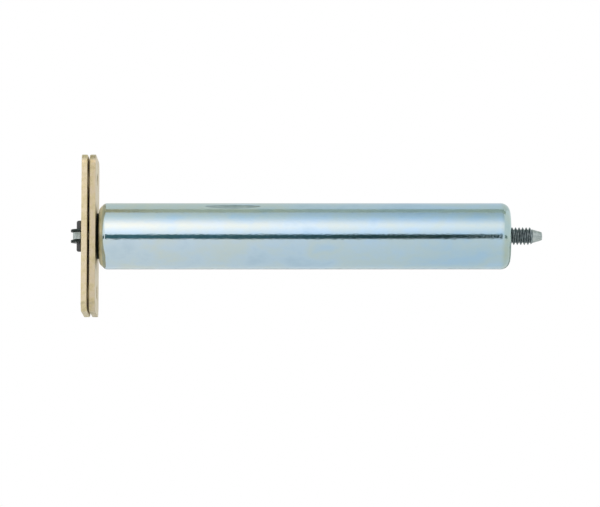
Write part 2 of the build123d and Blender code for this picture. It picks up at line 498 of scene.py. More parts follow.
@contextmanager
def editing(
    piece: bpy.types.Object, wanted: Callable[..., bool] | None = None, kind: Part = Part.EDGE
) -> Iterator[None]:
    """Opens a piece in edit mode for the operators of a with block, and closes it after them.

    Args:
        piece: The piece to open.
        wanted: Says from the corners of an edge or a face, in metres, whether to select it. Where
            it is left out, all of the piece is selected.
        kind: Which of the two is selected.

    Yields:
        Nothing.
    """
    pick(piece)
    bpy.ops.object.mode_set(mode="EDIT")
    bpy.ops.mesh.select_mode(type=kind.name if wanted else "VERT")
    bpy.ops.mesh.select_all(action="DESELECT" if wanted else "SELECT")
    if wanted:
        bpy.ops.object.mode_set(mode="OBJECT")
        points = piece.data.vertices
        for part in getattr(piece.data, kind.value):
            part.select = wanted(*(points[i].co for i in part.vertices))
        bpy.ops.object.mode_set(mode="EDIT")
    yield
    bpy.ops.object.mode_set(mode="OBJECT")


def close_up(piece: bpy.types.Object) -> None:
    """Merges a piece's doubled points and turns its faces outwards.

    Args:
        piece: The piece, as an operator or a boolean left it.
    """
    with editing(piece):
        bpy.ops.mesh.remove_doubles(threshold=SAME_POINT * MM)
        bpy.ops.mesh.dissolve_degenerate(threshold=SAME_POINT * MM)
        bpy.ops.mesh.select_all(action="SELECT")
        bpy.ops.mesh.normals_make_consistent(inside=False)


def rounded_outline(corners: list[Corner]) -> list[tuple[float, float]]:
    """Rounds the corners of a closed outline with arcs.

    Args:
        corners: Two coordinates and a rounding radius of each corner, in millimetres.

    Returns:
        The points of the rounded outline, in millimetres.
    """
    points: list[tuple[float, float]] = []
    for i, (u, v, rounding) in enumerate(corners):
        if not rounding:
            points.append((u, v))
            continue
        here = Vector((u, v))
        back = (Vector(corners[i - 1][:2]) - here).normalized()
        ahead = (Vector(corners[(i + 1) % len(corners)][:2]) - here).normalized()
        half = back.angle(ahead) / 2
        centre = here + (back + ahead).normalized() * rounding / math.sin(half)
        start = here + back * rounding / math.tan(half) - centre
        end = here + ahead * rounding / math.tan(half) - centre
        turn = math.atan2(start.x * end.y - start.y * end.x, start.dot(end))
        steps = max(2, math.ceil(abs(turn) / ARC_STEP))
        first = math.atan2(start.y, start.x)
        for k in range(steps + 1):
            angle = first + turn * k / steps
            points.append((centre.x + rounding * math.cos(angle), centre.y + rounding * math.sin(angle)))
    return points


def drawn(name: str, points: Iterable[Corner], fill: str = "NOTHING") -> bpy.types.Object:
    """Draws a closed outline, from a circle whose points are moved to their places.

    Args:
        name: The outline's name.
        points: Place of each point, in millimetres.
        fill: NGON where the outline is filled with a face.

    Returns:
        The outline.
    """
    places = list(points)
    deselect()
    bpy.ops.mesh.primitive_circle_add(vertices=len(places), radius=MM, fill_type=fill)
    piece = bpy.context.active_object
    piece.name = name
    for point, place in zip(piece.data.vertices, places):
        point.co = [size * MM for size in place]
    return piece


def turned(name: str, corners: list[Corner], steps: int) -> bpy.types.Object:
    """Turns a closed profile about the tube's axis, as on a lathe.

    Args:
        name: The piece's name.
        corners: x, radius and rounding of each corner of the profile, in millimetres.
        steps: How many steps the full turn has.

    Returns:
        The closed, turned piece.
    """
    piece = drawn(name, ((x, 0, radius) for x, radius in rounded_outline(corners)))
    with editing(piece):
        bpy.ops.mesh.spin(steps=steps, angle=math.tau, center=(0, 0, 0), axis=ALONG)
    close_up(piece)
    return piece


def plain_turned(
    name: str,
    span: tuple[float, float],
    radii: tuple[float, float],
    steps: int,
    edges: tuple[float, float] = (0, 0),
) -> bpy.types.Object:
    """Turns a plain ring or, where its inner radius is nought, a plain bar.

    Args:
        name: The piece's name.
        span: Where it starts and ends along X, in millimetres.
        radii: Its inner and outer radius, in millimetres.
        steps: How many steps the full turn has.
        edges: Rounding of its inner and outer edges, in millimetres.

    Returns:
        The closed, turned piece.
    """
    (start, end), (bore, radius), (inner, outer) = span, radii, edges
    corners = [(start, bore, inner), (start, radius, outer), (end, radius, outer), (end, bore, inner)]
    return turned(name, corners, steps)


def apply_modifier(piece: bpy.types.Object, kind: str, **settings) -> None:
    """Gives a piece a modifier and applies it.

    Args:
        piece: The piece.
        kind: The modifier's type name.
        **settings: The modifier's own properties.
    """
    pick(piece)
    modifier = piece.modifiers.new(kind.lower(), kind)
    for name, value in settings.items():
        setattr(modifier, name, value)
    bpy.ops.object.modifier_apply(modifier=modifier.name)


def combine(piece: bpy.types.Object, tool: bpy.types.Object, join: Join) -> None:
    """Changes a piece with a tool shape, and removes the tool."""
    apply_modifier(piece, "BOOLEAN", object=tool, operation=join.value, solver="EXACT")
    bpy.data.objects.remove(tool)


def trim_ends(piece: bpy.types.Object, start: float, end: float) -> None:
    """Cuts a piece square at both ends and closes the cuts.

    Args:
        piece: The piece, which is longer than it should be.
        start: The lowest x that is kept, in millimetres.
        end: The highest x that is kept, in millimetres.
    """
    close_up(piece)
    for x, keep_above in ((start, True), (end, False)):
        with editing(piece):
            bpy.ops.mesh.bisect(
                plane_co=(x * MM, 0, 0),
                plane_no=ALONG,
                use_fill=True,
                clear_inner=keep_above,
                clear_outer=not keep_above,
                threshold=SAME_POINT * MM,
            )
    close_up(piece)


def swing_to_cross(piece: bpy.types.Object, x: float) -> None:
    """Turns a piece that was turned about the tube's axis so that its axis runs along Z at x.

    Args:
        piece: The piece, whose own x then runs along Z.
        x: Where the crossing axis stands, in millimetres.
    """
    pick(piece)
    piece.data.transform(Matrix.Translation((x * MM, 0, 0)) @ Matrix.Rotation(-math.pi / 2, 4, "Y"))


def even_shading(piece: bpy.types.Object) -> None:
    """Shades a piece smooth, with flat faces kept flat and real edges kept crisp.

    Args:
        piece: The piece, finished in shape.
    """
    pick(piece)
    bpy.ops.object.shade_smooth_by_angle(angle=SMOOTH_ANGLE)
    apply_modifier(piece, "WEIGHTED_NORMAL", keep_sharp=True)


def dress(piece: bpy.types.Object, finish: Finish, body: str, node: str) -> None:
    """Gives a finished piece its material and its body, and hides the CAD node it stands for.

    Args:
        piece: The finished piece.
        finish: Its finish.
        body: The CAD body that it rides on.
        node: The CAD node that it replaces.
    """
    piece.data.materials.clear()
    piece.data.materials.append(finish.material())
    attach(piece, body)
    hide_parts(node)
    log.info("%s: %d faces, %s", piece.name, len(piece.data.polygons), finish.name)


def refinish(piece: bpy.types.Object, finish: Finish, wanted: Callable[[Vector], bool]) -> None:
    """Gives some faces of a dressed piece another finish.

    Args:
        piece: The dressed piece.
        finish: The other finish.
        wanted: Says from a face's middle, in metres, whether it gets that finish.
    """
    piece.data.materials.append(finish.material())
    for face in piece.data.polygons:
        if wanted(face.center):
            face.material_index = len(piece.data.materials) - 1


def copy_along(piece: bpy.types.Object, name: str, shift: float) -> bpy.types.Object:
    """Copies a piece, with a mesh of its own, along the tube's axis.

    Args:
        piece: The piece to copy.
        name: The copy's name.
        shift: How far the copy is moved along X, in millimetres.

    Returns:
        The copy.
    """
    pick(piece)
    bpy.ops.object.duplicate()
    twin = bpy.context.active_object
    twin.name = name
    twin.data.transform(Matrix.Translation((shift * MM, 0, 0)))
    return twin


def node_span(node: str) -> tuple[float, float]:
    """The lowest and highest x of a CAD node, in millimetres."""
    low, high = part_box(node)
    return low.x / MM, high.x / MM


# Sub-assemblies


@dataclass
class ClosingPlates:
    """The door plate and the frame plate, which meet face to face when the door is shut.

    Attributes:
        length: Length of both plates.
        width: Width of both plates.
        corner: Radius of their corners.
        corner_steps: Steps of a corner.
        roll: Radius that the blanking die leaves on the side that the punch meets first.
        roll_steps: Steps of that radius.
        burr: Bevel on the other side.
        burr_steps: Steps of that bevel.
        screw_spacing: Distance between the two screw holes.
        screw_hole: Diameter of a screw hole.
        screw_head: Diameter of its countersink.
        sink_round: Rounding at the countersink's foot.
        staking_hole: Diameter of the door plate's hole for the guide bush.
        slot_length: Length of the frame plate's slot.
        slot_width: Width of the slot.
        slot_edge: Bevel at the slot's outer mouth.
    """

    length: float = 57.0
    width: float = 25.0
    corner: float = 3.5
    corner_steps: int = 14
    roll: float = 0.5
    roll_steps: int = 6
    burr: float = 0.12
    burr_steps: int = 2
    screw_spacing: float = 41.0
    screw_hole: float = 4.8
    screw_head: float = 9.0
    sink_round: float = 0.15
    staking_hole: float = 14.02
    slot_length: float = 15.0
    slot_width: float = 5.6
    slot_edge: float = 0.3

    def build(self) -> None:
        """Models the door plate, which the bush is staked into, and the frame plate with its slot."""
        start, end = node_span("door_plate")
        span, radii = (start - CUT_PAST, end + CUT_PAST), (0, self.staking_hole / 2)
        bush_hole = plain_turned("bush_hole", span, radii, BUSH_STEPS)
        self.build_plate("door_plate", "closer_body", DULL_BRASSED_STEEL, Side.OUT_OF_DOOR, bush_hole)
        slot = self.slot_cutter(*node_span("frame_plate"))
        self.build_plate("frame_plate", "frame_end", BRASSED_STEEL, Side.INTO_DOOR, slot)

    def build_plate(
        self, node: str, body: str, finish: Finish, face: Side, opening: bpy.types.Object
    ) -> None:
        """Models and dresses one plate.

        Args:
            node: The CAD node that the plate replaces.
            body: The CAD body that it rides on.
            finish: Its finish.
            face: The side with the rolled edge, which the screw heads sink into.
            opening: The shape that cuts the opening in its middle.
        """
        start, end = node_span(node)
        plate = self.blank("brassed_" + node, start, end, face)
        for cutter in [opening, *self.screw_cutters(start, end, face)]:
            combine(plate, cutter, Join.CUT)
        close_up(plate)
        even_shading(plate)
        dress(plate, finish, body, node)

    def blank(self, name: str, start: float, end: float, rolled: Side) -> bpy.types.Object:
        """Makes a plate with round corners, a rolled side and a burred side.

        Args:
            name: The plate's name.
            start: The plate's lowest x.
            end: The plate's highest x.
            rolled: The side with the rolled edge.

        Returns:
            The plate without holes.
        """
        deselect()
        bpy.ops.mesh.primitive_cube_add(
            size=1,
            location=((start + end) / 2 * MM, 0, 0),
            scale=((end - start) * MM, self.width * MM, self.length * MM),
        )
        plate = bpy.context.active_object
        plate.name = name
        bpy.ops.object.transform_apply(location=True, rotation=True, scale=True)
        with editing(plate, lambda a, b: abs(a.x - b.x) > MM):
            bpy.ops.mesh.bevel(offset=self.corner * MM, segments=self.corner_steps, affect="EDGES")
        rolled_x, burred_x = (start, end) if rolled is Side.OUT_OF_DOOR else (end, start)
        for x, size, steps in (
            (rolled_x * MM, self.roll, self.roll_steps),
            (burred_x * MM, self.burr, self.burr_steps),
        ):
            with editing(plate, lambda a, b: max(abs(a.x - x), abs(b.x - x)) < SAME_POINT * MM):
                bpy.ops.mesh.bevel(offset=size * MM, segments=steps, affect="EDGES")
        return plate

    def screw_cutters(self, start: float, end: float, sunk: Side) -> list[bpy.types.Object]:
        """Makes the shapes that cut the two countersunk screw holes.

        Args:
            start: The plate's lowest x.
            end: The plate's highest x.
            sunk: The side that the screw heads sink into.

        Returns:
            One cutter for each hole.
        """
        head_x, far_x = (start, end) if sunk is Side.OUT_OF_DOOR else (end, start)
        inward = -sunk.value
        head, hole, lead = self.screw_head / 2, self.screw_hole / 2, self.burr
        outside, beyond = head_x - inward * CUT_PAST, far_x + inward * CUT_PAST
        cutters = []
        for height in (-self.screw_spacing / 2, self.screw_spacing / 2):
            cutter = turned(
                "screw_cutter",
                [
                    (outside, 0, 0),
                    (outside, head + CUT_PAST, 0),
                    (head_x + inward * (head - hole), hole, self.sink_round),
                    (far_x - inward * lead, hole, 0),
                    (beyond, hole + CUT_PAST + lead, 0),
                    (beyond, 0, 0),
                ],
                ROD_STEPS,
            )
            cutter.data.transform(Matrix.Translation((0, 0, height * MM)))
            cutters.append(cutter)
        return cutters

    def slot_cutter(self, start: float, end: float) -> bpy.types.Object:
        """Makes the shape that cuts the chain's slot, wider at its outer mouth.

        Args:
            start: The frame plate's outer x.
            end: The frame plate's inner x.

        Returns:
            The cutter.
        """
        half_width = self.slot_width / 2
        reach = self.slot_length / 2 - half_width
        cutter = turned(
            "slot_cutter",
            [
                (start - CUT_PAST, 0, 0),
                (start - CUT_PAST, half_width + CUT_PAST + self.slot_edge, 0),
                (start + self.slot_edge, half_width, 0),
                (end + CUT_PAST, half_width, 0),
                (end + CUT_PAST, 0, 0),
            ],
            ROD_STEPS,
        )
        for point in cutter.data.vertices:
            if abs(point.co.y) >= SAME_POINT * MM:
                point.co.y += math.copysign(reach * MM, point.co.y)
        return cutter


@dataclass
class SprungTube:
    """The bright tube with its rolled lip, its round rear end and the pressed mark near its top.

    Attributes:
        diameter: Outside diameter.
        wall: Wall thickness.
        chamfer: Chamfer behind the rolled lip.
        lip_bore: Diameter of the hole in the lip.
        lip_edge: Rounding of that hole's edges.
        lip_round: Rounding between the lip and the chamfer.
        shoulder_round: Rounding between the chamfer and the tube.
        highlight_reach: How far the lip's painted highlight reaches back from the tube's front.
        rear_round: Outside radius of the rear end's edge.
        rear_hole: Diameter of the rod's hole.
        rear_edge: Rounding of that hole's edges.
        mark_start: Where the pressed mark starts, along the tube.
        mark_length: Length of the mark.
        mark_width: Width of the mark, round the tube.
        mark_depth: Depth of the mark.
        mark_rim: Depth at which the mark's own surface starts.
        mark_tilt: Angle from the tube's top to the mark, towards the camera, in degrees.
        tool_rings: Rings of the lens that presses the mark.
        steps: Steps round the tube.
    """

    diameter: float = 24.0
    wall: float = 1.2
    chamfer: float = 2.0
    lip_bore: float = 16.7
    lip_edge: float = 0.2
    lip_round: float = 1.2
    shoulder_round: float = 1.9
    highlight_reach: float = 1.4
    rear_round: float = 3.5
    rear_hole: float = 7.8
    rear_edge: float = 0.25
    mark_start: float = 41.5
    mark_length: float = 20.0
    mark_width: float = 3.4
    mark_depth: float = 0.5
    mark_rim: float = 0.005
    mark_tilt: float = 33.0
    tool_rings: int = 32
    steps: int = 256

    def build(self) -> None:
        """Models and dresses the tube."""
        start, end = node_span("tube")
        outer = self.diameter / 2
        bore = outer - self.wall
        inner_chamfer = self.chamfer - self.wall * (2 - math.sqrt(2))
        tube = turned(
            "zinc_plated_tube",
            [
                (start, self.lip_bore / 2, self.lip_edge),
                (start, outer - self.chamfer, self.lip_round),
                (start + self.chamfer, outer, self.shoulder_round),
                (end, outer, self.rear_round),
                (end, self.rear_hole / 2, self.rear_edge),
                (end - self.wall, self.rear_hole / 2, self.rear_edge),
                (end - self.wall, bore, self.rear_round - self.wall),
                (start + self.wall + inner_chamfer, bore, 0),
                (start + self.wall, bore - inner_chamfer, 0),
                (start + self.wall, self.lip_bore / 2, self.lip_edge),
            ],
            self.steps,
        )
        combine(tube, self.press_tool(), Join.CUT)
        close_up(tube)
        even_shading(tube)
        dress(tube, ZINC_PLATE, "closer_body", "tube")
        # The pressed mark's darker colour is painted shade and reflection
        refinish(tube, PRESSED_ZINC_PAINTED_DARK, self.in_mark)
        # The lip and the front of the chamfer are painted paler, as a painted highlight
        refinish(tube, LIP_ZINC_PAINTED_HIGHLIGHT, lambda middle: middle.x / MM < start + self.highlight_reach)

    def in_mark(self, middle: Vector) -> bool:
        """Says whether a face lies in the pressed mark.

        Args:
            middle: The face's middle, in metres.

        Returns:
            True for a face below the tube's surface, within the mark's length.
        """
        depth = self.diameter / 2 - math.hypot(middle.y, middle.z) / MM
        along = middle.x / MM - self.mark_start
        return self.mark_rim < depth < self.mark_depth and 0 < along < self.mark_length

    def press_tool(self) -> bpy.types.Object:
        """Makes the long, low lens that is pressed into the wall.

        Returns:
            The lens, turned to its place on the tube.
        """
        deselect()
        bpy.ops.mesh.primitive_uv_sphere_add(
            segments=2 * self.tool_rings,
            ring_count=self.tool_rings,
            radius=1,
            location=((self.mark_start + self.mark_length / 2) * MM, 0, self.diameter / 2 * MM),
            scale=(self.mark_length / 2 * MM, self.mark_width / 2 * MM, self.mark_depth * MM),
        )
        bpy.ops.object.transform_apply(location=True, rotation=True, scale=True)
        tool = bpy.context.active_object
        tool.data.transform(Matrix.Rotation(math.radians(self.mark_tilt), 4, "X"))
        return tool


@dataclass
class GuideBush:
    """The turned bush that joins the door plate to the tube and guides the chain.

    Attributes:
        bore: Diameter that the chain runs in.
        spigot: Diameter of the spigot and the sleeve.
        rim: Diameter of the rim that is staked over the plate.
        neck: Diameter of the neck between plate and tube.
        flange: Diameter of the flange behind the tube's lip.
        flange_start: Where the flange starts.
        flange_end: Where the flange ends.
        flange_chamfer: Chamfer of the flange's front edge.
        mouth: Chamfer of the bore's outer mouth.
        mouth_round: Rounding behind that chamfer.
        sleeve_edge: Rounding of the sleeve's end.
        edge: Rounding of the other edges.
    """

    bore: float = 12.0
    spigot: float = 14.0
    rim: float = 15.8
    neck: float = 16.6
    flange: float = 21.3
    flange_start: float = 4.35
    flange_end: float = 6.25
    flange_chamfer: float = 1.297
    mouth: float = 1.2
    mouth_round: float = 0.3
    sleeve_edge: float = 0.15
    edge: float = 0.1

    def build(self) -> None:
        """Models and dresses the bush."""
        start, end = node_span("guide_bush")
        plate_end = node_span("door_plate")[1]
        bore, spigot, rim, neck, flange = (
            size / 2 for size in (self.bore, self.spigot, self.rim, self.neck, self.flange)
        )
        bush = turned(
            "turned_guide_bush",
            [
                (start, bore + self.mouth, self.edge),
                (start, rim, -start / 2),
                (0, rim, 0),
                (0, spigot, 0),
                (plate_end, spigot, 0),
                (plate_end, neck, 0),
                (self.flange_start, neck, 0),
                (self.flange_start, flange - self.flange_chamfer, 0),
                (self.flange_start + self.flange_chamfer, flange, 0),
                (self.flange_end, flange, self.edge),
                (self.flange_end, spigot, 0),
                (end, spigot, self.sleeve_edge),
                (end, bore + self.mouth / 2, self.edge),
                (end - self.mouth / 2, bore, self.edge),
                (start + self.mouth, bore, self.mouth_round),
            ],
            BUSH_STEPS,
        )
        even_shading(bush)
        # The bush's near-black colour is painted shade for its neck in the gap between plate and tube
        dress(bush, BUSH_PAINTED_SHADE, "closer_body", "guide_bush")


@dataclass
class SpringPack:
    """The compression spring, its two washers and the nut that loads it.

    Attributes:
        wire: Diameter of the spring's wire.
        wire_fineness: How finely the wire is rounded.
        turns: Open turns of the spring, which has one closed turn more at each end.
        turn_steps: Steps of one turn.
        ground: How much of the wire the grinding takes off at each end, as a share.
        coil_radius: Radius of the wire's middle line.
        closed_gap: Gap between the turns at the spring's closed ends.
        washer: Outside diameter of the washers.
        washer_hole: Their hole, round the bush's sleeve or the nut's hub.
        washer_edge: Rounding of their edges.
        nut_flange: Diameter of the nut's flange.
        nut_flange_thick: Thickness of that flange.
        nut_hub: Diameter of the nut's hub.
        nut_edge: Rounding of the flange's and the hub's edges.
        nut_bore: Diameter of the nut's bore.
        nut_bore_edge: Rounding of the bore's edges.
        stroke: How far the chain can pull the spring together. Nothing here reads it.
    """

    wire: float = 2.2
    wire_fineness: int = 4
    turns: int = 14
    turn_steps: int = 40
    ground: float = 0.35
    coil_radius: float = 9.0
    closed_gap: float = 0.05
    washer: float = 21.3
    washer_hole: float = 14.3
    washer_edge: float = 0.15
    nut_flange: float = 21.0
    nut_flange_thick: float = 3.6
    nut_hub: float = 14.0
    nut_edge: float = 0.6
    nut_bore: float = 6.4
    nut_bore_edge: float = 0.2
    stroke: float = 50.0

    def build(self) -> None:
        """Models and dresses the spring, the washers and the nut."""
        self.build_washer("front_spring_washer", "closer_body")
        self.build_washer("rear_spring_washer", "follower")
        self.build_nut()
        self.build_spring()

    def build_washer(self, node: str, body: str) -> None:
        """Models and dresses one washer.

        Args:
            node: The CAD node that the washer replaces.
            body: The CAD body that it rides on.
        """
        washer = plain_turned(
            "bright_" + node,
            node_span(node),
            (self.washer_hole / 2, self.washer / 2),
            WASHER_STEPS,
            (self.washer_edge, self.washer_edge),
        )
        even_shading(washer)
        dress(washer, TURNED_STEEL, body, node)

    def build_nut(self) -> None:
        """Models and dresses the nut, with its flange behind the spring and its hub inside."""
        start, end = node_span("follower_nut")
        flange_start = end - self.nut_flange_thick
        nut = turned(
            "brass_follower_nut",
            [
                (start, self.nut_bore / 2, self.nut_bore_edge),
                (start, self.nut_hub / 2, self.nut_edge),
                (flange_start, self.nut_hub / 2, 0),
                (flange_start, self.nut_flange / 2, self.nut_edge),
                (end, self.nut_flange / 2, self.nut_edge),
                (end, self.nut_bore / 2, self.nut_bore_edge),
            ],
            WASHER_STEPS,
        )
        even_shading(nut)
        dress(nut, TURNED_BRASS, "follower", "follower_nut")

    def build_spring(self) -> None:
        """Coils the wire, grinds both ends flat, dresses the spring and gives it a mesh of its own."""
        start, end = node_span("compression_spring")
        coil = bpy.data.objects.new("spring_coil", self.wire_route(start, end))
        bpy.context.scene.collection.objects.link(coil)
        pick(coil)
        bpy.ops.object.convert(target="MESH")
        spring = bpy.context.active_object
        spring.name = "oil_tempered_spring"
        trim_ends(spring, start, end)
        even_shading(spring)
        dress(spring, SPRING_WIRE, "spring", "compression_spring")
        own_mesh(spring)

    def wire_route(self, start: float, end: float) -> bpy.types.Curve:
        """Lays the wire along a helix with one closed turn at each end.

        Args:
            start: Where the ground spring starts.
            end: Where the ground spring ends.

        Returns:
            The wire's middle line, with its round section.
        """
        pitch = self.wire + self.closed_gap
        sunk = self.wire * (0.5 - self.ground)
        open_pitch = (end - start - 2 * sunk - 2 * pitch) / self.turns
        route = bpy.data.curves.new("spring_route", "CURVE")
        route.dimensions = "3D"
        route.bevel_depth = self.wire / 2 * MM
        route.bevel_resolution = self.wire_fineness
        route.use_fill_caps = True
        line = route.splines.new("POLY")
        line.points.add((self.turns + 2) * self.turn_steps)
        for i, point in enumerate(line.points):
            turn = i / self.turn_steps
            closed = min(turn, 1) + max(turn - self.turns - 1, 0)
            x = start + sunk + closed * pitch + min(max(turn - 1, 0), self.turns) * open_pitch
            y = -self.coil_radius * math.sin(turn * math.tau)
            z = self.coil_radius * math.cos(turn * math.tau)
            point.co = (x * MM, y * MM, z * MM, 1)
        return route


@dataclass
class TensionRod:
    """The rod with its rolled thread and coned end, and the fork and pin at its front.

    Attributes:
        diameter: Diameter over the thread's crests.
        shank: Diameter of the plain shank.
        shank_round: Rounding of the shank's two ends.
        spigot: Diameter of the spigot in the fork.
        spigot_length: Length of that spigot.
        thread_length: Length of the thread up to the cone.
        cone_length: Length of the coned end.
        point_lead: Length of the short taper that ends the thread's crests.
        point: Diameter of the smooth point behind that taper.
        point_round: Rounding where the taper meets the point.
        tip: Diameter of the tip.
        tip_round: Rounding of the tip.
        pitch: Pitch of the thread, one inch over twenty.
        thread_depth: Depth of the rolled thread.
        crest_at: Where along the tube a crest stands on the rod's top.
        spare_turns: Turns that the thread is made longer by at each end, before it is trimmed.
        steps: Steps of one turn of the thread.
    """

    diameter: float = 6.35
    shank: float = 5.6
    shank_round: float = 0.2
    spigot: float = 4.6
    spigot_length: float = 9.0
    thread_length: float = 40.0
    cone_length: float = 3.5
    point_lead: float = 0.8
    point: float = 4.9
    point_round: float = 0.3
    tip: float = 2.9
    tip_round: float = 0.7
    pitch: float = 1.27
    thread_depth: float = 0.82
    crest_at: float = 153.72
    spare_turns: int = 2
    steps: int = 48

    def build(self) -> None:
        """Models and dresses the rod, and dresses the fork and its pin."""
        start, end = node_span("rod")
        cone_start = end - self.cone_length
        thread_start = cone_start - self.thread_length
        radius, shank, spigot = self.diameter / 2, self.shank / 2, self.spigot / 2
        rod = turned(
            "threaded_rod",
            [
                (thread_start, 0, 0),
                (thread_start, shank, 0),
                (thread_start + (radius - shank), radius, 0),
                (cone_start - self.point_lead, radius, 0),
                (cone_start, self.point / 2, self.point_round),
                (end, self.tip / 2, self.tip_round),
                (end, 0, 0),
            ],
            ROD_STEPS,
        )
        combine(rod, self.thread(thread_start, end), Join.KEEP_INSIDE)
        plain = turned(
            "plain_shank",
            [
                (start, 0, 0),
                (start, spigot, 0),
                (start + self.spigot_length, spigot, 0),
                (start + self.spigot_length, shank, self.shank_round),
                (thread_start + JOIN_DEPTH, shank, self.shank_round),
                (thread_start + JOIN_DEPTH, 0, 0),
            ],
            ROD_STEPS,
        )
        combine(rod, plain, Join.ADD)
        close_up(rod)
        even_shading(rod)
        dress(rod, RUBBED_THREAD, "rod_assembly", "rod")
        refinish(rod, BARE_POINT, lambda middle: middle.x > cone_start * MM)
        for node in ("rod_fork", "fork_pin"):
            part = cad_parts[node]
            part.data.materials.clear()
            part.data.materials.append(TURNED_STEEL.material())
            log.info("%s: dressed in %s", node, TURNED_STEEL.name)

    def thread(self, start: float, end: float) -> bpy.types.Object:
        """Makes a solid bar of thread, longer than the rod's own, by screwing one tooth about X.

        Args:
            start: Where the rod's thread starts.
            end: Where the rod ends.

        Returns:
            The bar, closed at both ends.
        """
        crest = self.diameter / 2 + JOIN_DEPTH
        root = self.diameter / 2 - self.thread_depth
        crest_flat, root_flat = self.pitch / 8, self.pitch / 5
        flank = (self.pitch - crest_flat - root_flat) / 2
        lead = math.ceil((self.crest_at - start) / self.pitch) + self.spare_turns
        turns = lead + math.ceil((end - self.crest_at) / self.pitch) + self.spare_turns
        first = self.crest_at - lead * self.pitch - crest_flat / 2 - flank - root_flat
        tooth = [
            (first, root),
            (first + root_flat, root),
            (first + root_flat + flank, crest),
            (first + root_flat + flank + crest_flat, crest),
            (first + self.pitch, root),
        ]
        bar = drawn("thread_bar", ((x, 0, radius) for x, radius in tooth))
        with editing(bar, lambda a, b: abs(abs(a.x - b.x) - self.pitch * MM) < SAME_POINT * MM):
            bpy.ops.mesh.delete(type="EDGE")
        apply_modifier(
            bar,
            "SCREW",
            axis="X",
            steps=self.steps,
            render_steps=self.steps,
            iterations=turns,
            screw_offset=self.pitch * MM,
            use_merge_vertices=True,
            merge_threshold=SAME_POINT * MM,
        )
        trim_ends(bar, start - self.pitch / 4, end + self.pitch / 4)
        return bar


